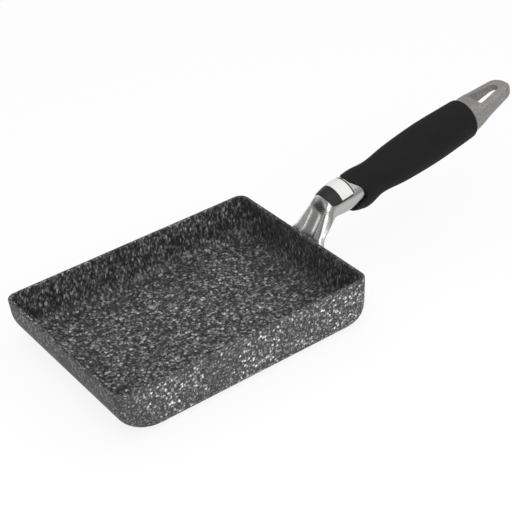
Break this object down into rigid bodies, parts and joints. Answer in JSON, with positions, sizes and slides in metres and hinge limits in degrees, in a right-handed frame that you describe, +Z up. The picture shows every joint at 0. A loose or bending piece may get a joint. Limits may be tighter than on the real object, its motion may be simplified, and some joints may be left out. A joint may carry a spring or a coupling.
{
  "type": "rectangular frying pan",
  "caption": "Shallow rectangular frying pan with a speckled coating, a scooped metal neck, a soft black grip and a slotted metal end cap for hanging.",
  "frame": {"origin": "on the flat underside of the base, under the middle of the rim's outline", "axes": "+X along the handle, +Y across the pan, +Z up through the open top"},
  "size_m": [0.3709, 0.135, 0.081],
  "materials": {
    "speckled_coating": "charcoal non-stick coating with light flecks on an aluminium tray",
    "bare_aluminium": "as cast, under the neck",
    "polished_metal": "polished die casting",
    "satin_metal": "satin die casting",
    "plated_steel": "zinc plated",
    "hard_black": "moulded, under the sleeve",
    "soft_black": "matte soft touch",
    "label_foil": "black and white label, bare of print"
  },
  "bodies": {
    "root": {"pan_body": "speckled_coating", "handle_lug": "bare_aluminium", "neck": "polished_metal", "neck_screw": "plated_steel", "neck_washer": "plated_steel", "grip_core": "hard_black", "grip_sleeve": "soft_black", "tie_screw": "plated_steel", "tie_washer": "plated_steel", "end_cap": "satin_metal", "label": "label_foil"}
  },
  "joints": []
}
